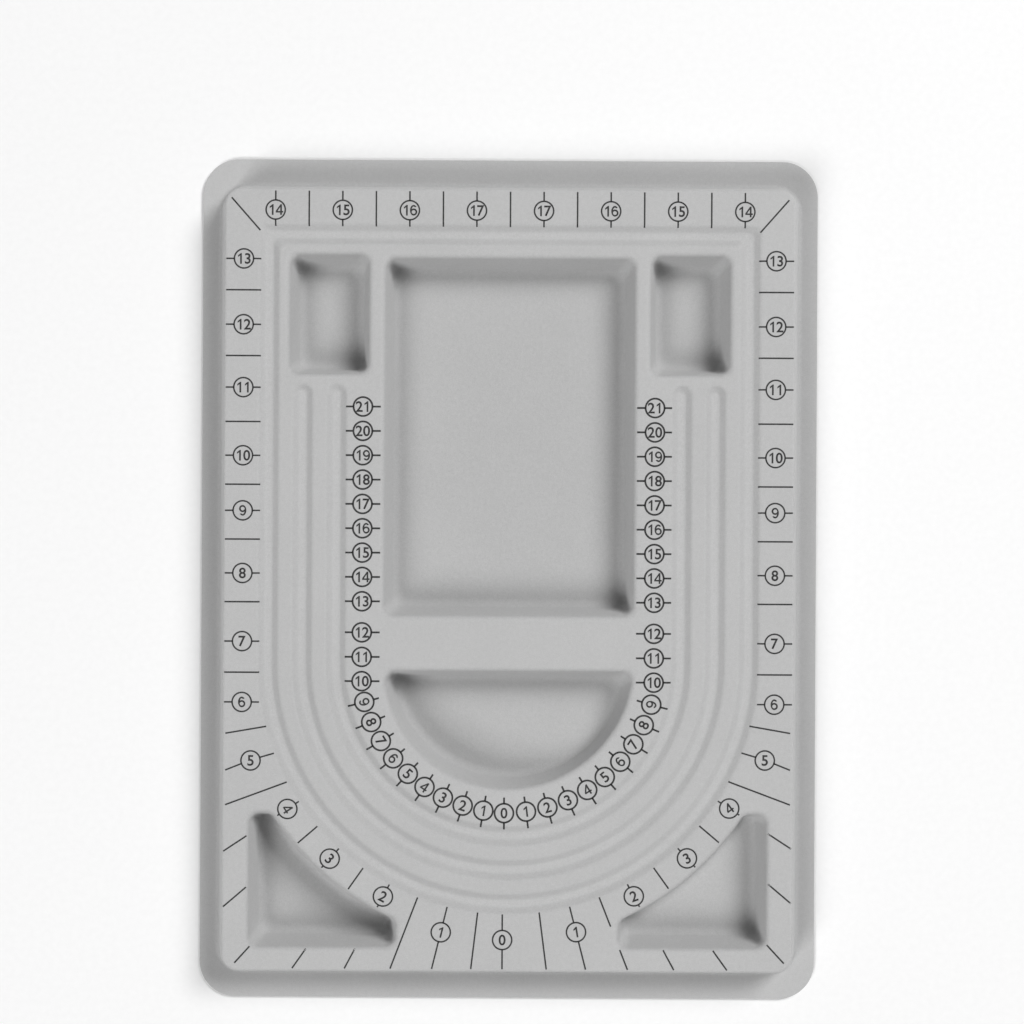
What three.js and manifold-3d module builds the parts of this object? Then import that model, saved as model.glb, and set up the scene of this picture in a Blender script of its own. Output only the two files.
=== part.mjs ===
// Flocked bead board: a thin plastic sheet drawn over a tool into bead channels and wells,
// with a nap of flock glued to its face. The sheet is open underneath, as drawn sheet is.
// Millimetres, +Z up, +Y towards the small wells. The origin is the middle of the base,
// on the surface that the board lies on.

import * as THREE from "three";
import Module from "manifold-3d";

// Outside of the board
const BOARD_WIDTH = 240;
const BOARD_LENGTH = 327;
const BOARD_HEIGHT = 16;
const BOARD_CORNER = 14;
const SIDE_FLANGE = 5.75;
const END_FLANGE = 8.75;
const PLATEAU_CORNER = 5.5;
const RIM_DRAFT = 12;
const RIM_FOOT_ROUND = 2;

// Layers, from the face down
const FLOCK = 0.5;
const GLUE_LINE = 0.1;
const SHEET = 0.7;

// Rounds on the tool's upper edges, which the layers then lie over
const RIM_EDGE = 0.1;
const WELL_EDGE = 1.1;
const CHANNEL_EDGE = 1.3;

// Flat bands and lands that stay at the full height between the hollows
const SIDE_BAND = 11.4;
const TOP_BAND = 11.8;
const BOTTOM_BAND = 19.9;
const INNER_BAND = 11.6;
const LAND = 1;
const RIDGE = 2.3;
const BRIDGE = 17.3;

// Channels that hold the rows of beads
const SLOT_COUNT = 2;
const CHANNEL_BED = 0.9;
const CHANNEL_BED_ROUND = 2.4;
const CHANNEL_DEPTH = 2;
const CHANNEL_DRAFT = 53;
const CHANNEL_GAP = 3.45;
const RING_CORNER = 1.3;

// Wells that hold loose beads
const WELL_FLOOR_CLEARANCE = 0.4;
const WELL_FLOOR_ROUND = 3.5;
const WELL_DRAFT = 12;
const WELL_CORNER = 3.8;
const SMALL_WELL_LENGTH = 49.6;
const MAIN_WELL_DROP = 1.2;
const MOON_DROP = 0.9;
const CORNER_WELL_SIDE = 7.1;
const CORNER_WELL_END = 6;
const CORNER_WELL_BAND = 8.2;
const CORNER_WELL_TOE = 13.9;
const CORNER_WELL_HEAD = 11.9;
const CORNER_WELL_TIP = 4;

// Steps along each kind of curve
const SWEEP_STEPS = 18;
const MOON_STEPS = 12;
const BOW_STEPS = 6;
const END_STEPS = 6;
const RIM_STEPS = 6;
const CORNER_STEPS = 3;
const ROUND_STEPS = 2;

// How far a cutting body runs past the face that it opens
const SPILL = 5;

// Sections and places that follow from the sizes above
const wall = FLOCK + GLUE_LINE + SHEET;
const floorHeight = wall + WELL_FLOOR_CLEARANCE;
const bedHeight = BOARD_HEIGHT - CHANNEL_DEPTH;
const rimStep = drawnStep(wall, RIM_DRAFT, RIM_EDGE, RIM_FOOT_ROUND);
const wellStep = drawnStep(floorHeight, WELL_DRAFT, WELL_EDGE, WELL_FLOOR_ROUND);
const channelStep = drawnStep(bedHeight, CHANNEL_DRAFT, CHANNEL_EDGE, CHANNEL_BED_ROUND);
const plateauWidth = BOARD_WIDTH - 2 * (SIDE_FLANGE + rimStep.run);
const plateauLength = BOARD_LENGTH - 2 * (END_FLANGE + rimStep.run);
const channelHalf = channelStep.run + CHANNEL_BED / 2;
const channelPitch = 2 * channelHalf + CHANNEL_GAP;
const ringRadius = plateauWidth / 2 - SIDE_BAND - channelHalf;
const ringTop = plateauLength / 2 - TOP_BAND - channelHalf;
const sweepY = BOTTOM_BAND + channelHalf + ringRadius - plateauLength / 2;
const mainWellHalf = ringRadius - SLOT_COUNT * channelPitch - channelHalf - INNER_BAND;
const smallWellTop = ringTop - channelHalf - LAND;
const smallWellBottom = smallWellTop - SMALL_WELL_LENGTH;
const smallWellInner = mainWellHalf + RIDGE;
const smallWellOuter = ringRadius - channelHalf - LAND;
const slotEnd = smallWellBottom - LAND - channelHalf;
const mainWellTop = smallWellTop - MAIN_WELL_DROP;
const moonTop = sweepY - MOON_DROP;
const mainWellBottom = moonTop + BRIDGE;

const wasm = await Module();
wasm.setup();

// Section of a step in the drawn sheet, from the face down to a lower level: a round over the
// tool's edge, a drafted wall and a round at its foot. run is its whole width in plan.
// at(depth) lists its points on the surface that lies that depth under the flocked face. Both
// rounds keep their centres, so all these surfaces are parallel. out is the distance from the
// step's upper edge, and spread how far the point has moved back towards that edge.
function drawnStep(bottom, draft, toolEdge, footRound) {
  const lean = THREE.MathUtils.degToRad(draft);
  const edgeRound = toolEdge + wall;
  const rounds = edgeRound + footRound;
  const straight = BOARD_HEIGHT - bottom - rounds * (1 - Math.sin(lean));
  const run = rounds * Math.cos(lean) + straight * Math.tan(lean);
  const turns = [...Array(ROUND_STEPS + 1).keys()].map((k) =>
    THREE.MathUtils.lerp(Math.PI / 2, lean, k / ROUND_STEPS),
  );
  const at = (depth) => [
    ...turns.map((turn) => ({
      out: (edgeRound - depth) * Math.cos(turn),
      z: BOARD_HEIGHT - edgeRound + (edgeRound - depth) * Math.sin(turn),
      spread: depth * Math.cos(turn),
    })),
    ...turns.toReversed().map((turn) => ({
      out: run - (footRound + depth) * Math.cos(turn),
      z: bottom + footRound - (footRound + depth) * Math.sin(turn),
      spread: depth * Math.cos(turn),
    })),
  ];
  return { run, at };
}

// Third side of a right triangle, from its longest side and one other. It is none where the
// other is the longer, so that a line clear of a circle counts as meeting it at its axis.
function leg(longest, other) {
  return Math.sqrt(Math.max(0, longest ** 2 - other ** 2));
}

// Points along a circular arc, ends included. It turns clockwise where the angle falls.
function arc(x, y, radius, from, to, steps) {
  const start = THREE.MathUtils.degToRad(from);
  const end = THREE.MathUtils.degToRad(to);
  return new THREE.EllipseCurve(x, y, radius, radius, start, end, to < from).getPoints(steps);
}

// Outlines run anticlockwise, and every outline of one kind has as many points.

function roundedRectangle(left, right, bottom, top, corner, steps) {
  return [
    ...arc(right - corner, top - corner, corner, 0, 90, steps),
    ...arc(left + corner, top - corner, corner, 90, 180, steps),
    ...arc(left + corner, bottom + corner, corner, 180, 270, steps),
    ...arc(right - corner, bottom + corner, corner, 270, 360, steps),
  ];
}

// An arch upside down: a half circle below and two corners above.
function archOutline(radius, top, corner) {
  return [
    ...arc(0, sweepY, radius, 180, 360, SWEEP_STEPS),
    ...arc(radius - corner, top - corner, corner, 0, 90, CORNER_STEPS),
    ...arc(corner - radius, top - corner, corner, 90, 180, CORNER_STEPS),
  ];
}

// A slot bent to a U, with round ends.
function slotOutline(radius, half) {
  return [
    ...arc(0, sweepY, radius + half, 180, 360, SWEEP_STEPS),
    ...arc(radius, slotEnd, half, 0, 180, END_STEPS),
    ...arc(0, sweepY, radius - half, 360, 180, SWEEP_STEPS),
    ...arc(-radius, slotEnd, half, 0, 180, END_STEPS),
  ];
}

// A half moon: a straight edge above and an arc about the centre of the channels' sweep.
function moonOutline(inset, corner) {
  const radius = mainWellHalf - inset;
  const drop = sweepY - moonTop + inset + corner;
  const reach = leg(radius - corner, drop);
  const turn = THREE.MathUtils.radToDeg(Math.atan2(drop, reach));
  return [
    ...arc(0, sweepY, radius, 180 + turn, 360 - turn, MOON_STEPS).slice(1, -1),
    ...arc(reach, sweepY - drop, corner, -turn, 90, CORNER_STEPS),
    ...arc(-reach, sweepY - drop, corner, 90, 180 + turn, CORNER_STEPS),
  ];
}

// The right corner well: two straight sides along the plateau's edges, and a long side that
// follows the outer channel. Its narrow ends are cut blunt, the toe towards the middle of the
// board and the head up its side. Deep down they draw back, so as not to close up.
// Distances are measured right of and down from the centre of the channels' sweep.
function cornerOutline(inset, corner) {
  const mouthRadius = ringRadius + channelHalf + CORNER_WELL_BAND;
  const mouthSide = plateauWidth / 2 - CORNER_WELL_SIDE;
  const mouthBottom = sweepY + plateauLength / 2 - CORNER_WELL_END;
  const radius = mouthRadius + inset;
  const side = mouthSide - inset;
  const bottom = mouthBottom - inset;
  const toe = Math.max(
    leg(mouthRadius, mouthBottom - CORNER_WELL_TOE) + inset,
    leg(radius, bottom - CORNER_WELL_TIP),
  );
  const head = Math.max(
    leg(mouthRadius, mouthSide - CORNER_WELL_HEAD) + inset,
    leg(radius, side - CORNER_WELL_TIP),
  );
  const toeRound = Math.min(corner, (bottom - leg(radius, toe)) / 2);
  const headRound = Math.min(corner, (side - leg(radius, head)) / 2);
  const toeDrop = leg(radius + toeRound, toe + toeRound);
  const headReach = leg(radius + headRound, head + headRound);
  const toeTurn = THREE.MathUtils.radToDeg(Math.atan2(-toeDrop, toe + toeRound));
  const headTurn = THREE.MathUtils.radToDeg(Math.atan2(-head - headRound, headReach));
  const y = (down) => sweepY - down;
  return [
    ...arc(side - headRound, y(head + headRound), headRound, 0, 90, CORNER_STEPS),
    ...arc(headReach, y(head + headRound), headRound, 90, 180 + headTurn, CORNER_STEPS),
    ...arc(0, sweepY, radius, headTurn, toeTurn, BOW_STEPS).slice(1, -1),
    ...arc(toe + toeRound, y(toeDrop), toeRound, 180 + toeTurn, 180, CORNER_STEPS),
    ...arc(toe + toeRound, y(bottom - toeRound), toeRound, 180, 270, CORNER_STEPS),
    ...arc(side - corner, y(bottom - corner), corner, 270, 360, CORNER_STEPS),
  ];
}

function mirrored(outline) {
  return outline.map((p) => new THREE.Vector2(-p.x, p.y)).reverse();
}

// Closed surface through level outlines of as many points, listed from the bottom up.
function loft(rings) {
  const count = rings[0].outline.length;
  const last = (rings.length - 1) * count;
  const corners = rings.flatMap((ring) => ring.outline.flatMap((p) => [p.x, p.y, ring.z]));
  const faces = [];
  for (let start = 0; start < last; start += count) {
    for (let k = 0; k < count; k++) {
      const low = start + k;
      const next = start + ((k + 1) % count);
      faces.push(low, next, next + count, low, next + count, low + count);
    }
  }
  for (const [a, b, c] of THREE.ShapeUtils.triangulateShape(rings[0].outline, [])) {
    faces.push(a, c, b);
  }
  for (const [a, b, c] of THREE.ShapeUtils.triangulateShape(rings.at(-1).outline, [])) {
    faces.push(last + a, last + b, last + c);
  }
  const geometry = new THREE.BufferGeometry();
  geometry.setAttribute("position", new THREE.Float32BufferAttribute(corners, 3));
  geometry.setIndex(faces);
  return geometry;
}

function solidOf(geometry) {
  const vertProperties = new Float32Array(geometry.getAttribute("position").array);
  const triVerts = new Uint32Array(geometry.getIndex().array);
  return new wasm.Manifold(new wasm.Mesh({ numProp: 3, vertProperties, triVerts }));
}

// The block under the plateau and its flange, up to the surface at this depth under the face.
// past is how far it runs beyond the trimmed edge and below the base.
function plateau(depth, past) {
  const rectangle = (width, length, corner) =>
    roundedRectangle(-width / 2, width / 2, -length / 2, length / 2, corner, RIM_STEPS);
  const sides = rimStep.at(depth).map(({ out, z }) => ({
    outline: rectangle(plateauWidth + 2 * out, plateauLength + 2 * out, PLATEAU_CORNER + out),
    z,
  }));
  const trim = rectangle(BOARD_WIDTH + 2 * past, BOARD_LENGTH + 2 * past, BOARD_CORNER + past);
  const base = { outline: trim, z: -past };
  const flange = { outline: trim, z: wall - depth };
  return solidOf(loft([base, flange, ...sides.reverse()]));
}

// A hollow below the face. outlineAt(out, spread) is its outline at a distance from its mouth.
function hollow(step, depth, outlineAt) {
  const sides = step.at(depth).map(({ out, spread, z }) => ({ outline: outlineAt(out, spread), z }));
  const mouth = { outline: sides[0].outline, z: BOARD_HEIGHT + SPILL };
  return solidOf(loft([...sides.reverse(), mouth]));
}

function rectangularWell(depth, left, right, bottom, top) {
  return hollow(wellStep, depth, (out, spread) =>
    roundedRectangle(
      left + out,
      right - out,
      bottom + out,
      top - out,
      WELL_CORNER + spread,
      CORNER_STEPS,
    ),
  );
}

function wells(depth) {
  const corner = (out, spread) => cornerOutline(out, WELL_CORNER + spread);
  return [
    rectangularWell(depth, -mainWellHalf, mainWellHalf, mainWellBottom, mainWellTop),
    rectangularWell(depth, smallWellInner, smallWellOuter, smallWellBottom, smallWellTop),
    rectangularWell(depth, -smallWellOuter, -smallWellInner, smallWellBottom, smallWellTop),
    hollow(wellStep, depth, (out, spread) => moonOutline(out, WELL_CORNER + spread)),
    hollow(wellStep, depth, corner),
    hollow(wellStep, depth, (out, spread) => mirrored(corner(out, spread))),
  ];
}

// The inner channels stop below the small wells.
function slots(depth) {
  return [...Array(SLOT_COUNT).keys()].map((k) => {
    const radius = ringRadius - (k + 1) * channelPitch;
    return hollow(channelStep, depth, (out) => slotOutline(radius, channelHalf - out));
  });
}

// The outer channel closes on itself above the wells, so an island stands in its hollow.
function ringChannel(depth) {
  const corner = RING_CORNER + wall;
  const dish = hollow(channelStep, depth, (out, spread) => {
    const half = channelHalf - out;
    return archOutline(ringRadius + half, ringTop + half, corner + spread);
  });
  const sides = channelStep.at(depth).map(({ out, spread, z }) => {
    const half = channelHalf - out;
    return { outline: archOutline(ringRadius - half, ringTop - half, corner - spread), z };
  });
  const foot = { outline: sides.at(-1).outline, z: -SPILL };
  const top = { outline: sides[0].outline, z: BOARD_HEIGHT + 2 * SPILL };
  return dish.subtract(solidOf(loft([foot, ...sides.reverse(), top])));
}

// The whole board, up to the surface at this depth under the flocked face.
function form(depth, past) {
  const hollows = [...wells(depth), ...slots(depth), ringChannel(depth)];
  return hollows.reduce((block, cut) => block.subtract(cut), plateau(depth, past));
}

// One layer of the board, between two depths under the flocked face.
function layer(name, from, to, finish) {
  const made = form(from, 0).subtract(form(to, SPILL)).getMesh();
  const geometry = new THREE.BufferGeometry();
  geometry.setAttribute("position", new THREE.BufferAttribute(made.vertProperties, 3));
  geometry.setIndex(new THREE.BufferAttribute(made.triVerts, 1));
  const mesh = new THREE.Mesh(geometry, new THREE.MeshStandardMaterial(finish));
  mesh.name = name;
  return mesh;
}

const napFinish = { color: 0xbcbcbc, roughness: 0.95, metalness: 0 };
const sheetFinish = { color: 0x9b9b9d, roughness: 0.5, metalness: 0 };

const beadBoard = new THREE.Group();
beadBoard.add(layer("flock_nap", 0, FLOCK, napFinish));
beadBoard.add(layer("formed_sheet", FLOCK + GLUE_LINE, wall, sheetFinish));

export default beadBoard;
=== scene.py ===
# %% [markdown]
# # A flocked bead board
#
# A bead board is a tray for laying out a necklace before it is strung. The beads lie in long
# U-shaped channels, the spare ones wait in wells, and printed scales tell the length. It is made
# of thin plastic sheet with a nap of short fibres on its face. The sheet is warmed, drawn over
# a tool, printed and trimmed. The lesson rebuilds that order: first the drawn surface, then the
# two layers, then the print, the materials and the light.

from math import atan2, ceil, cos, degrees, pi, radians, sin, sqrt, tan

import bmesh
import bpy
from mathutils import Matrix, Vector
from mathutils.bvhtree import BVHTree


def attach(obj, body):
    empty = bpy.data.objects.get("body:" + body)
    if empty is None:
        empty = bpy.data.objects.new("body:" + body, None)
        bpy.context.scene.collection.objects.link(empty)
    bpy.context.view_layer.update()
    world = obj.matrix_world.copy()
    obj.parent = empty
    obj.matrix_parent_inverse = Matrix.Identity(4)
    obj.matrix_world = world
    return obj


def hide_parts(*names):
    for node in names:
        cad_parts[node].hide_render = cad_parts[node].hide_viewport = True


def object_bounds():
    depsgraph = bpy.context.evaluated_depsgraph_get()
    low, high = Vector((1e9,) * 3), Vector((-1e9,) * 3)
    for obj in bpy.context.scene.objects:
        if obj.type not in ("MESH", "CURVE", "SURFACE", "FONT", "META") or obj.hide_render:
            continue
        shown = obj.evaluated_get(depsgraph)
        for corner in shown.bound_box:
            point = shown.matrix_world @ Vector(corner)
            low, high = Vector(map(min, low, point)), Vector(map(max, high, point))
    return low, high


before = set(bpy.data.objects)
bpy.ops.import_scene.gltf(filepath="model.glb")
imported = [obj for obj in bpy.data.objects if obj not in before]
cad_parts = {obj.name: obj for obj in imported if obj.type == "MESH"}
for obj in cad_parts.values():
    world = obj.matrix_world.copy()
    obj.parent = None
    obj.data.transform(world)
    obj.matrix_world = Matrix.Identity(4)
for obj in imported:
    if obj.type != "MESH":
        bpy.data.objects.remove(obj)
cad_low, cad_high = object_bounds()
MM = 0.001
half_width, half_length, board_height = cad_high / MM
print("board in the frame, mm:", [round(v, 2) for v in (cad_high - cad_low) / MM])

# %% [markdown]
# ## The section of a drawn step
#
# Wherever the warm sheet is drawn down, it makes the same kind of section. It bends over the
# tool's edge, falls as a leaning wall and bends again at the foot. The rounds keep their centres
# through the thickness, so that every layer of the sheet runs parallel to the face. One function
# gives the points of that section at any depth below the face. Each point is a distance out from
# the edge, a height, and how far a corner opens there. A short flat is added before and after,
# so that the shading of the flat areas stays truly flat.

# %% Sections
FLOCK = 0.5
GLUE_LINE = 0.1
SHEET = 0.7
wall = FLOCK + GLUE_LINE + SHEET
ROUND_STEPS = 6


def drawn_step(bottom, draft, tool_edge, foot, flat):
    lean = radians(draft)
    edge = tool_edge + wall
    straight = board_height - bottom - (edge + foot) * (1 - sin(lean))
    run = (edge + foot) * cos(lean) + straight * tan(lean)
    turns = [pi / 2 + (lean - pi / 2) * k / ROUND_STEPS for k in range(ROUND_STEPS + 1)]

    def at(depth):
        over = edge - depth
        under = foot + depth
        bend = [(over * cos(t), board_height - edge + over * sin(t), depth * cos(t)) for t in turns]
        heel = [(run - under * cos(t), bottom + foot - under * sin(t), depth * cos(t)) for t in turns]
        before = (-flat, board_height - depth, 0)
        after = (run + flat, bottom - depth, 0)
        return [before, *bend, *reversed(heel), after]

    return run, at


FLOOR_CLEARANCE = 0.4
CHANNEL_DEPTH = 2
CHANNEL_BED = 0.9
floor_height = wall + FLOOR_CLEARANCE
bed_height = board_height - CHANNEL_DEPTH
rim_run, rim_step = drawn_step(wall, draft=12, tool_edge=0.1, foot=2, flat=0.3)
well_run, well_step = drawn_step(floor_height, draft=12, tool_edge=1.1, foot=3.5, flat=0.3)
channel_run, channel_step = drawn_step(bed_height, draft=53, tool_edge=1.3, foot=2.4, flat=0.15)
channel_half = channel_run + CHANNEL_BED / 2
print("width of a wall in plan, mm:", [round(v, 2) for v in (rim_run, well_run, channel_run)])

# %% [markdown]
# ## Where the hollows lie
#
# Each place follows from the one outside it: the flange, the rim, the band that carries the outer
# scale, the outer channel, and so on to the middle. All the curves share one centre, the middle
# of the channels' sweep.

# %% Places
SIDE_FLANGE = 5.75
END_FLANGE = 8.75
SIDE_BAND = 11.4
BACK_BAND = 11.8
FRONT_BAND = 19.9
INNER_BAND = 11.6
CHANNEL_GAP = 3.45
LAND = 1
SMALL_LENGTH = 49.6
SMALL_GAP = 2.3
MAIN_DROP = 1.2
MOON_DROP = 0.9
BRIDGE = 17.3
top_side = half_width - SIDE_FLANGE - rim_run
top_end = half_length - END_FLANGE - rim_run
ring_radius = top_side - SIDE_BAND - channel_half
ring_top = top_end - BACK_BAND - channel_half
sweep_y = FRONT_BAND + channel_half + ring_radius - top_end
pitch = 2 * channel_half + CHANNEL_GAP
main_half = ring_radius - 2 * pitch - channel_half - INNER_BAND
small_top = ring_top - channel_half - LAND
small_bottom = small_top - SMALL_LENGTH
small_inner = main_half + SMALL_GAP
small_outer = ring_radius - channel_half - LAND
slot_end = small_bottom - LAND - channel_half
moon_top = sweep_y - MOON_DROP
main_bottom = moon_top + BRIDGE
main_top = small_top - MAIN_DROP
print("middle of the sweep at y", round(sweep_y, 2))
print("outer channel at radius", round(ring_radius, 2), "and the next ones", round(pitch, 2), "apart")

# %% [markdown]
# ## Outlines
#
# Seen from above, every edge on the board is a chain of arcs with straight runs between them. An
# outline is drawn at a distance inwards from the mouth, with its own corner radius, so that the
# walls can be built from a stack of outlines. All outlines in a stack have as many points.

# %% Outlines
CORNER_STEPS = 10
SWEEP_STEPS = 80


def arc(x, y, radius, start, end, steps):
    turns = [radians(start + (end - start) * k / steps) for k in range(steps + 1)]
    return [(x + radius * cos(t), y + radius * sin(t)) for t in turns]


def leg(longest, other):
    return sqrt(max(0, longest**2 - other**2))


def rectangle(left, right, bottom, top, corner, steps=CORNER_STEPS):
    return [
        *arc(right - corner, top - corner, corner, 0, 90, steps),
        *arc(left + corner, top - corner, corner, 90, 180, steps),
        *arc(left + corner, bottom + corner, corner, 180, 270, steps),
        *arc(right - corner, bottom + corner, corner, 270, 360, steps),
    ]


def arch(radius, top, corner):
    return [
        *arc(0, sweep_y, radius, 180, 360, SWEEP_STEPS),
        *arc(radius - corner, top - corner, corner, 0, 90, CORNER_STEPS),
        *arc(corner - radius, top - corner, corner, 90, 180, CORNER_STEPS),
    ]


def bent_slot(radius, half):
    return [
        *arc(0, sweep_y, radius + half, 180, 360, SWEEP_STEPS),
        *arc(radius, slot_end, half, 0, 180, 2 * CORNER_STEPS),
        *arc(0, sweep_y, radius - half, 360, 180, SWEEP_STEPS),
        *arc(-radius, slot_end, half, 0, 180, 2 * CORNER_STEPS),
    ]


def half_moon(inset, corner):
    radius = main_half - inset
    drop = sweep_y - moon_top + inset + corner
    across = leg(radius - corner, drop)
    turn = degrees(atan2(drop, across))
    return [
        *arc(0, sweep_y, radius, 180 + turn, 360 - turn, SWEEP_STEPS)[1:-1],
        *arc(across, sweep_y - drop, corner, -turn, 90, CORNER_STEPS),
        *arc(-across, sweep_y - drop, corner, 90, 180 + turn, CORNER_STEPS),
    ]


# %% [markdown]
# The corner wells are the hardest outline. Two of their sides run along the rim, the long one
# follows the outer channel, and both narrow ends are cut blunt. Where the walls close in, the
# ends draw back, as they do on the real tool.

# %% Outline of a corner well
CORNER_BAND = 8.2
CORNER_SIDE = 7.1
CORNER_END = 6
CORNER_TOE = 13.9
CORNER_HEAD = 11.9
CORNER_TIP = 4


def corner_well(inset, corner):
    mouth_radius = ring_radius + channel_half + CORNER_BAND
    mouth_side = top_side - CORNER_SIDE
    mouth_bottom = sweep_y + top_end - CORNER_END
    radius = mouth_radius + inset
    side = mouth_side - inset
    bottom = mouth_bottom - inset
    toe = max(leg(mouth_radius, mouth_bottom - CORNER_TOE) + inset, leg(radius, bottom - CORNER_TIP))
    head = max(leg(mouth_radius, mouth_side - CORNER_HEAD) + inset, leg(radius, side - CORNER_TIP))
    toe_round = min(corner, (bottom - leg(radius, toe)) / 2)
    head_round = min(corner, (side - leg(radius, head)) / 2)
    toe_drop = leg(radius + toe_round, toe + toe_round)
    head_reach = leg(radius + head_round, head + head_round)
    toe_turn = degrees(atan2(-toe_drop, toe + toe_round))
    head_turn = degrees(atan2(-head - head_round, head_reach))
    head_y = sweep_y - head - head_round
    return [
        *arc(side - head_round, head_y, head_round, 0, 90, CORNER_STEPS),
        *arc(head_reach, head_y, head_round, 90, 180 + head_turn, CORNER_STEPS),
        *arc(0, sweep_y, radius, head_turn, toe_turn, 4 * CORNER_STEPS)[1:-1],
        *arc(toe + toe_round, sweep_y - toe_drop, toe_round, 180 + toe_turn, 180, CORNER_STEPS),
        *arc(toe + toe_round, sweep_y - bottom + toe_round, toe_round, 180, 270, CORNER_STEPS),
        *arc(side - corner, sweep_y - bottom + corner, corner, 270, 360, CORNER_STEPS),
    ]


def mirrored(outline):
    return [(-x, y) for x, y in reversed(outline)]


print("points round a corner well:", len(corner_well(0, CORNER_TIP)))

# %% [markdown]
# ## Drawing a wall
#
# A wall starts as one loop of edges at the mouth. The loop is extruded and the copy is moved to
# the next point of the section, again and again, as the sheet itself is pulled down the tool. The
# two loops at its ends are kept, because the flat areas are filled between them.

# %% Walls by extrusion


def edges_of(loop):
    pairs = zip(loop, loop[1:] + loop[:1])
    return [next(e for e in a.link_edges if e.other_vert(a) is b) for a, b in pairs]


def first_loop(bm, points, z):
    loop = [bm.verts.new((x, y, z)) for x, y in points]
    for a, b in zip(loop, loop[1:] + loop[:1]):
        bm.edges.new((a, b))
    return loop


def pulled_loop(bm, loop, points, z):
    made = bmesh.ops.extrude_edge_only(bm, edges=edges_of(loop))["geom"]
    fresh = {v for v in made if isinstance(v, bmesh.types.BMVert)}
    copies = [next(e.other_vert(v) for e in v.link_edges if e.other_vert(v) in fresh) for v in loop]
    for vert, (x, y) in zip(copies, points):
        vert.co = (x, y, z)
    return copies


def rings(levels, outline):
    return [(outline(out, spread), z) for out, z, spread in levels]


def drawn_wall(bm, stack):
    mouth = first_loop(bm, *stack[0])
    loop = mouth
    for points, z in stack[1:]:
        loop = pulled_loop(bm, loop, points, z)
    return mouth, loop


def fill(bm, *loops):
    edges = [e for loop in loops for e in edges_of(loop)]
    bmesh.ops.triangle_fill(bm, use_beauty=True, edges=edges, normal=(0, 0, 1))


# %% [markdown]
# ## One surface of the board
#
# The whole surface at one depth is put together here. The rim falls outwards to the flange. The
# outer channel goes round an island, so its wall runs down, across the bed and up again. All other
# hollows have one wall and a floor. Then the two flat areas are filled, one outside the outer
# channel and one on the island. The function gives back the loop where the flange is trimmed.

# %% Surface at one depth
PLATEAU_CORNER = 5.5
BOARD_CORNER = 14
WELL_CORNER = 3.8
RING_CORNER = 1.3


def board_surface(bm, depth):
    def rim(out, spread):
        side = top_side + out
        end = top_end + out
        return rectangle(-side, side, -end, end, PLATEAU_CORNER + out, 2 * CORNER_STEPS)

    def ring_outside(out, spread):
        half = channel_half - out
        return arch(ring_radius + half, ring_top + half, RING_CORNER + wall + spread)

    def ring_inside(out, spread):
        half = channel_half - out
        return arch(ring_radius - half, ring_top - half, RING_CORNER + wall - spread)

    def box_well(left, right, bottom, top):
        return lambda out, spread: rectangle(
            left + out, right - out, bottom + out, top - out, WELL_CORNER + spread
        )

    def right_corner(out, spread):
        return corner_well(out, WELL_CORNER + spread)

    def hollow(levels, outline):
        mouth, foot = drawn_wall(bm, rings(levels, outline))
        fill(bm, foot)
        return mouth

    wells = well_step(depth)
    channels = channel_step(depth)
    rim_mouth, flange = drawn_wall(bm, rings(rim_step(depth), rim))
    down = rings(channels, ring_outside)
    up = rings(channels, ring_inside)[::-1]
    outside_mouth, inside_mouth = drawn_wall(bm, down + up)
    corners = [
        hollow(wells, right_corner),
        hollow(wells, lambda out, spread: mirrored(right_corner(out, spread))),
    ]
    island = [
        hollow(wells, box_well(-main_half, main_half, main_bottom, main_top)),
        hollow(wells, box_well(small_inner, small_outer, small_bottom, small_top)),
        hollow(wells, box_well(-small_outer, -small_inner, small_bottom, small_top)),
        hollow(wells, lambda out, spread: half_moon(out, WELL_CORNER + spread)),
        hollow(channels, lambda out, spread: bent_slot(ring_radius - pitch, channel_half - out)),
        hollow(channels, lambda out, spread: bent_slot(ring_radius - 2 * pitch, channel_half - out)),
    ]
    fill(bm, rim_mouth, outside_mouth, *corners)
    fill(bm, inside_mouth, *island)
    trim = rectangle(
        -half_width, half_width, -half_length, half_length, BOARD_CORNER, 2 * CORNER_STEPS
    )
    return pulled_loop(bm, flange, trim, wall - depth)


# %% [markdown]
# ## The two layers
#
# Each layer is the space between two surfaces, closed along the trimmed edge. The nap starts a
# hair below the full height, because the fibre tips don't reach it everywhere and the print needs
# room. The sheet lies under the nap with a thin line of glue between them. Each vertex inside the
# rim also keeps how far it was drawn down, from 0 on the face to 1 on a well's floor. The material
# of the nap reads that later to paint shade into the wells.

# %% Layers


def link(name, mesh):
    piece = bpy.data.objects.new(name, mesh)
    bpy.context.scene.collection.objects.link(piece)
    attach(piece, "root")
    return piece


def layer(name, top, bottom, node):
    bm = bmesh.new()
    drawn = bm.verts.layers.float.new("drawn")
    trims = [edges_of(board_surface(bm, depth)) for depth in (top, bottom)]
    bmesh.ops.bridge_loops(bm, edges=trims[0] + trims[1])
    bmesh.ops.recalc_face_normals(bm, faces=bm.faces)
    for face in bm.faces:
        face.smooth = True
    for edge in trims[0] + trims[1]:
        edge.smooth = False
    for vert in bm.verts:
        if abs(vert.co.x) < top_side and abs(vert.co.y) < top_end:
            vert[drawn] = (board_height - top - vert.co.z) / (board_height - floor_height)
    bmesh.ops.scale(bm, vec=(MM, MM, MM), verts=bm.verts)
    open_edges = sum(not edge.is_manifold for edge in bm.edges)
    mesh = bpy.data.meshes.new(name)
    bm.to_mesh(mesh)
    bm.free()
    piece = link(name, mesh)
    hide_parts(node)
    print(name, "faces:", len(mesh.polygons), "open edges:", open_edges)
    return piece


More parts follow.
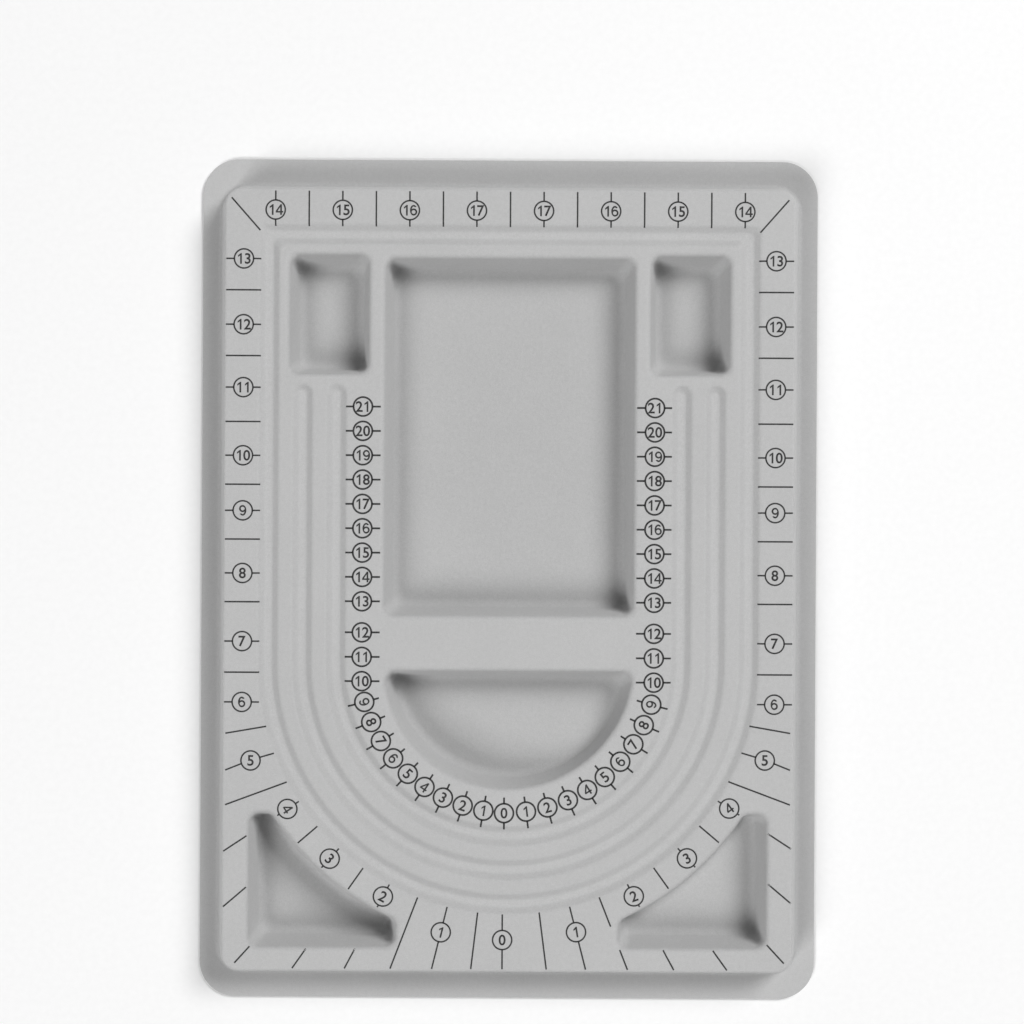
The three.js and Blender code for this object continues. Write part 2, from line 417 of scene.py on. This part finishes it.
NAP_FACE = 0.05
nap = layer("nap_of_flock", NAP_FACE, FLOCK, "flock_nap")
sheet = layer("drawn_sheet", FLOCK + GLUE_LINE, wall, "formed_sheet")

# %% [markdown]
# ## Shapes for the print
#
# The scales are printed with three shapes: a thin line, a ring and a digit. They are laid out flat
# first. A long line is cut into short lengths, so that it can bend over an edge later. Most
# digits come from the built-in font, made a little bolder, as ink spreads in the fibres. Its
# figure one is a bare stroke, its four closes up when it gets bolder, and its six and nine have
# straight tails. So those are filled from outlines drawn here, as an ordinary sans-serif has them.

# %% Lines, rings and digits
INK_LINE = 0.6
INK_STEP = 0.6
INK_SPREAD = 0.017
RING_RADIUS = 3.98
DIGIT_HEIGHT = 4.1
OVAL_STEPS = 20


def oval(y, half_wide, half_high, start, end):
    return [(u * half_wide, y + v * half_high) for u, v in arc(0, 0, 1, start, end, OVAL_STEPS)]


STEM = [(-0.01, -0.5), (0.15, -0.5), (0.15, 0.5), (0.05, 0.5)]
STEM += [(-0.21, 0.29), (-0.21, 0.13), (-0.01, 0.27)]
FOUR = [(0.07, -0.5), (0.23, -0.5), (0.23, -0.28), (0.35, -0.28), (0.35, -0.135), (0.23, -0.135)]
FOUR += [(0.23, 0.5), (0.09, 0.5), (-0.35, -0.13), (-0.35, -0.28), (0.07, -0.28)]
FOUR_EYE = [(0.07, -0.135), (0.07, 0.23), (-0.178, -0.135)]
SIX = oval(0, 0.34, 0.5, 38, 270) + oval(-0.165, 0.34, 0.335, 270, 470)[1:]
SIX += oval(0, 0.18, 0.345, 160, 55)
SIX_EYE = oval(-0.165, 0.18, 0.175, 0, 342)
NINE, NINE_EYE = ([(-x, -y) for x, y in outline] for outline in (SIX, SIX_EYE))
DRAWN_DIGITS = {"1": [STEM], "4": [FOUR, FOUR_EYE], "6": [SIX, SIX_EYE], "9": [NINE, NINE_EYE]}


def line(bm, start, end, weight=INK_LINE):
    start, end = Vector((*start, 0)), Vector((*end, 0))
    along = end - start
    place = Matrix.Translation((start + end) / 2)
    turn = Matrix.Rotation(atan2(along.y, along.x), 4, "Z")
    size = Matrix.Diagonal((along.length, weight, 1, 1))
    pieces = ceil(along.length / INK_STEP)
    bmesh.ops.create_grid(bm, x_segments=pieces, y_segments=1, size=0.5, matrix=place @ turn @ size)


def ring(bm, at, weight):
    made = bmesh.ops.create_circle(
        bm, cap_ends=True, radius=RING_RADIUS, segments=40, matrix=Matrix.Translation((*at, 0))
    )
    disc = made["verts"][0].link_faces[0]
    bmesh.ops.inset_region(
        bm, faces=[disc], thickness=weight, use_boundary=True, use_even_offset=True
    )
    bmesh.ops.delete(bm, geom=[disc], context="FACES_ONLY")


def drawn_digit(outlines):
    bm = bmesh.new()
    fill(bm, *[first_loop(bm, outline, 0) for outline in outlines])
    mesh = bpy.data.meshes.new("digit")
    bm.to_mesh(mesh)
    bm.free()
    return mesh


def font_digit(figure):
    letter = bpy.data.curves.new("digit", "FONT")
    letter.body = figure
    letter.resolution_u = 6
    letter.offset = INK_SPREAD
    holder = bpy.data.objects.new("digit", letter)
    bpy.context.scene.collection.objects.link(holder)
    bpy.context.view_layer.update()
    mesh = bpy.data.meshes.new_from_object(holder)
    xs = [v.co.x for v in mesh.vertices]
    ys = [v.co.y for v in mesh.vertices]
    middle = Vector(((min(xs) + max(xs)) / 2, (min(ys) + max(ys)) / 2, 0))
    mesh.transform(Matrix.Scale(1 / (max(ys) - min(ys)), 4) @ Matrix.Translation(-middle))
    bpy.data.objects.remove(holder)
    bpy.data.curves.remove(letter)
    return mesh


digits = {figure: font_digit(figure) for figure in "023578"}
digits |= {figure: drawn_digit(outlines) for figure, outlines in DRAWN_DIGITS.items()}
DIGIT_STEP = 0.7


def number(bm, value, at, up):
    turn = Matrix.Rotation(radians(up - 90), 4, "Z")
    size = Matrix.Scale(DIGIT_HEIGHT, 4)
    figures = str(value)
    for k, figure in enumerate(figures):
        shift = Matrix.Translation(((k - (len(figures) - 1) / 2) * DIGIT_STEP, 0, 0))
        copy = digits[figure].copy()
        copy.transform(Matrix.Translation((*at, 0)) @ turn @ size @ shift)
        bm.from_mesh(copy)
        bpy.data.meshes.remove(copy)


print("digits made:", len(digits))

# %% [markdown]
# ## Marks of a scale
#
# A whole unit has a ring with its number and a short line on both sides. A half unit has a plain
# line. A mark is given by the two ends of its line and the place of its ring on it. On the sweep
# these places are turned about the middle, with zero straight below it.

# %% Marks
UPRIGHT = 90


def ringed_mark(bm, value, start, end, at, up, weight=INK_LINE):
    start, end, at = Vector(start), Vector(end), Vector(at)
    along = (end - start).normalized()
    if (at - start).dot(along) > RING_RADIUS:
        line(bm, start, at - along * (RING_RADIUS - weight / 2), weight)
    if (end - at).dot(along) > RING_RADIUS:
        line(bm, at + along * (RING_RADIUS - weight / 2), end, weight)
    ring(bm, at, weight)
    number(bm, value, at, up)


def on_sweep(radius, angle, side):
    return side * radius * cos(radians(angle)), sweep_y - radius * sin(radians(angle))


# %% [markdown]
# ## Outer scale
#
# The outer scale runs along the top, down both sides and round the sweep. It counts up from zero
# in the middle of the front, one way on each side. The spacing isn't quite even on the real board,
# so the marks stand where they were printed.

# %% Outer scale
outer = bmesh.new()
BAND_INSIDE = 95.4
BAND_OUTSIDE = 108.8
BAND_RING = 102
BACK_INSIDE = 135.4
BACK_OUTSIDE = 148.9
BACK_RING = 141.6
DIAGONAL = ((95.8, 133.7), (106.8, 146.2))
UNIT = 25.7
SIDE_RINGS = {13: 122.8, 12: 97.6, 11: 73.5, 10: 47.4, 9: 26.3, 8: 2.3, 7: -23.8, 6: -47.1}
SIDE_LINES = (110.8, 85.6, 60.35, 36.3, 15.3, -8.7, -35.7)
for k in range(-3, 4):
    line(outer, (k * UNIT, BACK_INSIDE), (k * UNIT, BACK_OUTSIDE))
for side in (-1, 1):
    for k, value in enumerate((17, 16, 15, 14)):
        x = side * (k + 0.5) * UNIT
        ends = (x, BACK_INSIDE), (x, BACK_OUTSIDE)
        ringed_mark(outer, value, *ends, (x, BACK_RING), UPRIGHT)
    for value, y in SIDE_RINGS.items():
        ends = (side * BAND_INSIDE, y), (side * BAND_OUTSIDE, y)
        ringed_mark(outer, value, *ends, (side * BAND_RING, y), UPRIGHT)
    for y in SIDE_LINES:
        line(outer, (side * BAND_INSIDE, y), (side * BAND_OUTSIDE, y))
    line(outer, *[(side * x, y) for x, y in DIAGONAL])
print("outer scale, straight part:", len(outer.faces), "faces")

# %% [markdown]
# Round the sweep the lines point at its middle. They start at the outer channel and stop short of
# the rim, and where a corner well is in the way the line breaks off at its edge and goes on behind
# it.

# %% Outer scale round the sweep
FAN_START = 96
FAN_STEP = 7.1
FRONT_OUTSIDE = 149
RIM_ROUND = 9
NEAR_LIP_PRINT = 0.7
FAR_LIP_PRINT = 1.6
TOE_LIP = 1.2
TOE_MARGIN = 2.5
SHORTEST_LINE = 0.5
well_edge = ring_radius + channel_half + CORNER_BAND
well_side = top_side - CORNER_SIDE
well_foot = sweep_y + top_end - CORNER_END
well_toe = leg(well_edge, well_foot - CORNER_TOE)
well_head = leg(well_edge, well_side - CORNER_HEAD)


def reach(angle, side, end, corner):
    """How far a line gets from the middle before a side, an end or the rounded corner of both."""
    sharp = min(side / cos(angle), end / sin(angle))
    gap = side + end - sharp * (cos(angle) + sin(angle))
    return sharp - max(0, (sqrt(2) - 1) * (corner - gap))


def fan_end(angle):
    return reach(angle, BAND_OUTSIDE, sweep_y + FRONT_OUTSIDE, RIM_ROUND)


def fan_breaks(angle):
    """Where the line runs into the corner well, and where it goes on behind it."""
    meets = max(well_edge, (well_toe - TOE_LIP) / cos(angle))
    leaves = reach(angle, well_side, well_foot, WELL_CORNER)
    return meets + NEAR_LIP_PRINT, leaves - FAR_LIP_PRINT


def crosses_well(angle):
    past_toe = well_edge * cos(angle) > well_toe - TOE_MARGIN
    return past_toe and well_edge * sin(angle) > well_head


def fan_mark(bm, value, degrees_down, radius, up, side):
    angle = radians(degrees_down)
    end = fan_end(angle)
    stop = end
    if crosses_well(angle):
        stop, resume = fan_breaks(angle)
        if end - resume > SHORTEST_LINE:
            line(bm, on_sweep(resume, degrees_down, side), on_sweep(end, degrees_down, side))
    ends = on_sweep(FAN_START, degrees_down, side), on_sweep(stop, degrees_down, side)
    if value is None:
        line(bm, *ends)
    else:
        ringed_mark(bm, value, *ends, on_sweep(radius, degrees_down, side), up)


DIGIT_TILT = {-1: 1, 1: 0.65}
FAN_ANGLES = {-1: 90.4, 1: 89.7}
OUTER_ZERO = (105.8, 90.95)
fan = {0.5: None, 1: 106, 1.5: None, 2: 101.2, 2.5: None, 3: 101.2, 3.5: None, 4: 101.2}
for side in (-1, 1):
    below = FAN_ANGLES[side]
    for unit, radius in fan.items():
        angle = below - 2 * FAN_STEP * unit
        value = None if radius is None else unit
        up = UPRIGHT + side * DIGIT_TILT[side] * (90 - angle)
        fan_mark(outer, value, angle, radius, up, side)
zero = on_sweep(*OUTER_ZERO, 1)
ends = (zero[0], sweep_y - FAN_START), (zero[0], -FRONT_OUTSIDE)
ringed_mark(outer, 0, *ends, zero, UPRIGHT)
print("outer scale with its sweep:", len(outer.faces), "faces")

# %% [markdown]
# Three marks on each side lead over from the sweep to the straight part. They lean less and less,
# and the print is turned a little, so the marks on the left stand lower than those on the right.

# %% Outer scale between sweep and sides
LEADING_LINES = (((84.6, -77.2), (108.2, -86)), ((92.6, -55.9), (108.2, -58.6)))
LEADING_RING = ((89.6, -66.2), (108.2, -72.7), (98.5, -69))
PRINT_TURN = 0.5


def on_side(places, side):
    return [(side * x, y + side * PRINT_TURN) for x, y in places]


for side in (-1, 1):
    for ends in LEADING_LINES:
        line(outer, *on_side(ends, side))
    ringed_mark(outer, 5, *on_side(LEADING_RING, side), UPRIGHT)
print("outer scale:", len(outer.faces), "faces")

# %% [markdown]
# ## Inner scale
#
# The inner scale has only ringed numbers, and its lines are a little heavier. It goes up both sides
# of the main well from zero below the half moon. The print is a little off the middle, so each side
# has its own start and step.

# %% Inner scale
inner = bmesh.new()
INNER_LINE = 0.71
INNER_UNIT = 9.325
INNER_SHIFT = 0.17
INNER_ZERO = (57.2, 91.3)
INNER_ANGLES = {-1: (88.9, 8.2), 1: (91.2, 8.4)}
SWEEP_INSIDE, SWEEP_RING, SWEEP_OUTSIDE = 51.2, 57, 63.6
SIDE_INSIDE, SIDE_RING, SIDE_OUTSIDE = 49.1, 55.95, 62.5
INNER_RINGS = {10: -38.9, 11: -29.6, 12: -20.2, **{13 + k: -8.3 + INNER_UNIT * k for k in range(9)}}
for side in (-1, 1):
    below, step = INNER_ANGLES[side]
    for value in range(1, 10):
        angle = below - step * value
        ends = on_sweep(SWEEP_INSIDE, angle, side), on_sweep(SWEEP_OUTSIDE, angle, side)
        up = UPRIGHT + side * (90 - angle)
        ringed_mark(inner, value, *ends, on_sweep(SWEEP_RING, angle, side), up, INNER_LINE)
    for value, y in INNER_RINGS.items():
        across = [side * x - INNER_SHIFT for x in (SIDE_INSIDE, SIDE_OUTSIDE, SIDE_RING)]
        ringed_mark(inner, value, *[(x, y) for x in across], UPRIGHT, INNER_LINE)
zero = on_sweep(*INNER_ZERO, 1)
ends = (zero[0], sweep_y - SWEEP_INSIDE), (zero[0], sweep_y - SWEEP_OUTSIDE)
ringed_mark(inner, 0, *ends, zero, UPRIGHT, INNER_LINE)
print("inner scale:", len(inner.faces), "faces")

# %% [markdown]
# ## Laying the print on the nap
#
# The ink follows the surface, also where a line runs over the edge of a channel. So each vertex is
# dropped onto the nap, and then the flat shapes get a little thickness. The ink sits in the fibre
# tips, so it stands out by only some hundredths of a millimetre.

# %% Print on the nap
INK_RISE = 0.03
INK_DEPTH = 0.06
nap_tree = BVHTree.FromObject(nap, bpy.context.evaluated_depsgraph_get())


def lay_on_nap(name, bm):
    above = board_height + 5
    for vert in bm.verts:
        spot = Vector((vert.co.x, vert.co.y, above)) * MM
        hit = nap_tree.ray_cast(spot, Vector((0, 0, -1)))[0]
        vert.co = hit + Vector((0, 0, INK_RISE * MM))
    for face in bm.faces:
        if face.normal.z < 0:
            face.normal_flip()
    bmesh.ops.solidify(bm, geom=bm.faces[:], thickness=INK_DEPTH * MM)
    bmesh.ops.recalc_face_normals(bm, faces=bm.faces)
    mesh = bpy.data.meshes.new(name)
    bm.to_mesh(mesh)
    bm.free()
    return link(name, mesh)


outer_print = lay_on_nap("printed_outer_scale", outer)
inner_print = lay_on_nap("printed_inner_scale", inner)
for piece in (outer_print, inner_print):
    top = max(v.co.z for v in piece.data.vertices) / MM
    print(piece.name, "faces:", len(piece.data.polygons), "top at", round(top, 3))

# %% [markdown]
# ## Helpers for materials
#
# The materials share a few steps: make a node, join two sockets, and read a noise in the object's
# own coordinates. Those are metres, so a noise scale of 1000 gives spots of about a millimetre.

# %% Node helpers


def node(tree, kind, **inputs):
    made = tree.nodes.new(kind)
    for name, value in inputs.items():
        made.inputs[name.replace("_", " ")].default_value = value
    return made


def noise(tree, place, scale, detail=2.0, roughness=0.5):
    made = node(tree, "ShaderNodeTexNoise", Scale=scale, Detail=detail, Roughness=roughness)
    tree.links.new(place, made.inputs["Vector"])
    return made.outputs["Fac"]


def ranged(tree, value, low, high, start=0.3, end=0.7):
    made = node(tree, "ShaderNodeMapRange", From_Min=start, From_Max=end, To_Min=low, To_Max=high)
    tree.links.new(value, made.inputs["Value"])
    return made.outputs["Result"]


def maths(tree, kind, a, b):
    made = tree.nodes.new("ShaderNodeMath")
    made.operation = kind
    for socket, value in zip(made.inputs, (a, b)):
        if isinstance(value, (int, float)):
            socket.default_value = value
        else:
            tree.links.new(value, socket)
    return made.outputs["Value"]


def grey(tree, value):
    made = tree.nodes.new("ShaderNodeCombineColor")
    for name in ("Red", "Green", "Blue"):
        tree.links.new(value, made.inputs[name])
    return made.outputs["Color"]


# %% [markdown]
# ## Fibres
#
# Flock looks matt and soft because the fibres stand on end and lean a little in all directions.
# Three noises make that: broad patches where the pile leans another way, small tufts, and the
# grain of the fibres. The group gives the shade of the nap and the height of its tips.

# %% Group for the nap
fibres = bpy.data.node_groups.new("fibres", "ShaderNodeTree")
fibres.interface.new_socket("Shade", in_out="OUTPUT", socket_type="NodeSocketFloat")
fibres.interface.new_socket("Height", in_out="OUTPUT", socket_type="NodeSocketFloat")
place = fibres.nodes.new("ShaderNodeTexCoord").outputs["Object"]
patches = ranged(fibres, noise(fibres, place, 38, 3.0), 0.985, 1.015)
tufts = noise(fibres, place, 700, 2.0)
grain = noise(fibres, place, 3200, 2.0, 0.65)
tuft_shade = ranged(fibres, tufts, 0.975, 1.025)
grain_shade = ranged(fibres, grain, 0.91, 1.09)
shade = maths(fibres, "MULTIPLY", maths(fibres, "MULTIPLY", patches, tuft_shade), grain_shade)
height = maths(fibres, "ADD", maths(fibres, "MULTIPLY", tufts, 0.5), grain)
fibres_out = fibres.nodes.new("NodeGroupOutput")
fibres.links.new(shade, fibres_out.inputs["Shade"])
fibres.links.new(height, fibres_out.inputs["Height"])
print("fibre group nodes:", len(fibres.nodes))

# %% [markdown]
# ## Materials
#
# The nap is a light neutral grey with a sheen, because the fibre tips catch light at a low angle.
# Deeper in a well the nap is painted a shade darker, down to its darkest on the floor, as painted
# shade. The ink is a dark grey that lets a few fibres through. The sheet is a darker, slightly
# satin plastic with the fine pebbling that the rolls leave on its back.

# %% Materials


def surface(name):
    material = bpy.data.materials.new(name)
    material.use_nodes = True
    return material, material.node_tree, material.node_tree.nodes["Principled BSDF"]


def add_bump(tree, shader, height, strength, distance):
    bump = node(tree, "ShaderNodeBump", Strength=strength, Distance=distance)
    tree.links.new(height, bump.inputs["Height"])
    tree.links.new(bump.outputs["Normal"], shader.inputs["Normal"])


# The nap's own grey, and the darker grey painted as shade on a well's floor.
FACE_GREY = 0.5
WELL_SHADE_GREY = 0.465
flock, tree, shader = surface("light grey flock")
pile = tree.nodes.new("ShaderNodeGroup")
pile.node_tree = fibres
# Painted shade: the deeper a point lies in a well, the darker its grey.
well_depth = tree.nodes.new("ShaderNodeAttribute")
well_depth.attribute_name = "drawn"
nap_grey_with_painted_shade = ranged(tree, well_depth.outputs["Fac"], FACE_GREY, WELL_SHADE_GREY, 0, 1)
nap_shade = maths(tree, "MULTIPLY", pile.outputs["Shade"], nap_grey_with_painted_shade)
tree.links.new(grey(tree, nap_shade), shader.inputs["Base Color"])
shader.inputs["Roughness"].default_value = 0.95
shader.inputs["Specular IOR Level"].default_value = 0.1
shader.inputs["Sheen Weight"].default_value = 0.15
shader.inputs["Sheen Roughness"].default_value = 0.6
add_bump(tree, shader, pile.outputs["Height"], 0.35, 0.0002)

ink, tree, shader = surface("dark grey ink")
pile = tree.nodes.new("ShaderNodeGroup")
pile.node_tree = fibres
speckle = ranged(tree, pile.outputs["Height"], 0.02, 0.06, 0.55, 0.95)
tree.links.new(grey(tree, speckle), shader.inputs["Base Color"])
shader.inputs["Roughness"].default_value = 0.8
shader.inputs["Specular IOR Level"].default_value = 0.2
add_bump(tree, shader, pile.outputs["Height"], 0.3, 0.0001)

plastic, tree, shader = surface("grey drawn sheet")
place = tree.nodes.new("ShaderNodeTexCoord").outputs["Object"]
cloud = ranged(tree, noise(tree, place, 30, 3.0), 0.30, 0.36)
tree.links.new(grey(tree, cloud), shader.inputs["Base Color"])
pebble = noise(tree, place, 1600, 2.0)
tree.links.new(ranged(tree, pebble, 0.4, 0.55), shader.inputs["Roughness"])
add_bump(tree, shader, pebble, 0.25, 0.00015)

for piece, material in ((nap, flock), (sheet, plastic), (outer_print, ink), (inner_print, ink)):
    piece.data.materials.clear()
    piece.data.materials.append(material)
    print(piece.name, "takes", material.name)

# %% [markdown]
# ## Floor and light
#
# The board lies on a plain pale floor. One broad soft light stands at the back right and a weaker
# one at the front left, so every leaning wall gets some light, and only the two corners of a well
# that neither light reaches turn dark. A little even light from all round fills the rest. Far from
# the board the floor and the world look one pale grey, straight or mirrored, while the even light
# on the board stays low.

# %% Studio
PALE = 0.95
EVEN_LIGHT = 0.13
FLOOR_NEAR = 0.4
FLOOR_FAR = 1.1


def looked_at(tree):
    path = tree.nodes.new("ShaderNodeLightPath").outputs
    shiny_or_clear = maths(tree, "MAXIMUM", path["Is Glossy Ray"], path["Is Transmission Ray"])
    return maths(tree, "MAXIMUM", path["Is Camera Ray"], shiny_or_clear)


floor_mesh = bpy.data.meshes.new("floor")
bm = bmesh.new()
bmesh.ops.create_grid(bm, x_segments=1, y_segments=1, size=3)
bm.to_mesh(floor_mesh)
bm.free()
floor = bpy.data.objects.new("floor", floor_mesh)
bpy.context.scene.collection.objects.link(floor)
paper, tree, shader = surface("pale paper")
place = tree.nodes.new("ShaderNodeTexCoord").outputs["Object"]
paper_grey = ranged(tree, noise(tree, place, 400, 2.0), 0.93, 0.95)
tree.links.new(grey(tree, paper_grey), shader.inputs["Base Color"])
shader.inputs["Roughness"].default_value = 0.9
away = tree.nodes.new("ShaderNodeVectorMath")
away.operation = "LENGTH"
tree.links.new(place, away.inputs[0])
seen = looked_at(tree)
far_off = ranged(tree, away.outputs["Value"], 0, 1, FLOOR_NEAR, FLOOR_FAR)
plain = node(tree, "ShaderNodeEmission", Color=(PALE, PALE, PALE, 1), Strength=1)
blend = tree.nodes.new("ShaderNodeMixShader")
tree.links.new(maths(tree, "MULTIPLY", far_off, seen), blend.inputs["Fac"])
tree.links.new(shader.outputs["BSDF"], blend.inputs[1])
tree.links.new(plain.outputs["Emission"], blend.inputs[2])
tree.links.new(blend.outputs["Shader"], tree.nodes["Material Output"].inputs["Surface"])
floor_mesh.materials.append(paper)


def soft_light(name, at, size, power):
    lamp = bpy.data.lights.new(name, "AREA")
    lamp.size = size
    lamp.energy = power
    holder = bpy.data.objects.new(name, lamp)
    holder.location = at
    holder.rotation_euler = (-Vector(at)).to_track_quat("-Z", "Y").to_euler()
    bpy.context.scene.collection.objects.link(holder)


soft_light("right light", at=(1.99, 1.73, 2.46), size=1.5, power=103)
soft_light("left light", at=(-1.75, -2.08, 2.36), size=1.5, power=75)
world = bpy.data.worlds.new("even light")
world.use_nodes = True
tree = world.node_tree
background = tree.nodes["Background"]
background.inputs["Color"].default_value = (1, 1, 1, 1)
seen = looked_at(tree)
tree.links.new(ranged(tree, seen, EVEN_LIGHT, PALE, 0, 1), background.inputs["Strength"])
bpy.context.scene.world = world

# %% [markdown]
# ## Camera
#
# The camera looks straight down from three quarters of a metre, a little towards the small wells.
# It is turned by a third of a degree, as the board didn't lie quite square.

# %% Camera
CAMERA_HEIGHT = 0.75
CAMERA_TURN = 0.3
VIEW_WIDTH = 0.4008
SENSOR = 36
camera_data = bpy.data.cameras.new("camera")
camera_data.sensor_width = SENSOR
camera_data.lens = SENSOR * CAMERA_HEIGHT / VIEW_WIDTH
camera_data.dof.use_dof = False
camera = bpy.data.objects.new("camera", camera_data)
camera.location = (0.00117, 0.0262, CAMERA_HEIGHT)
camera.rotation_euler = (0, 0, radians(CAMERA_TURN))
bpy.context.scene.collection.objects.link(camera)
bpy.context.scene.camera = camera
bpy.context.scene.view_settings.view_transform = "Standard"
print("lens", round(camera_data.lens, 1), "mm")
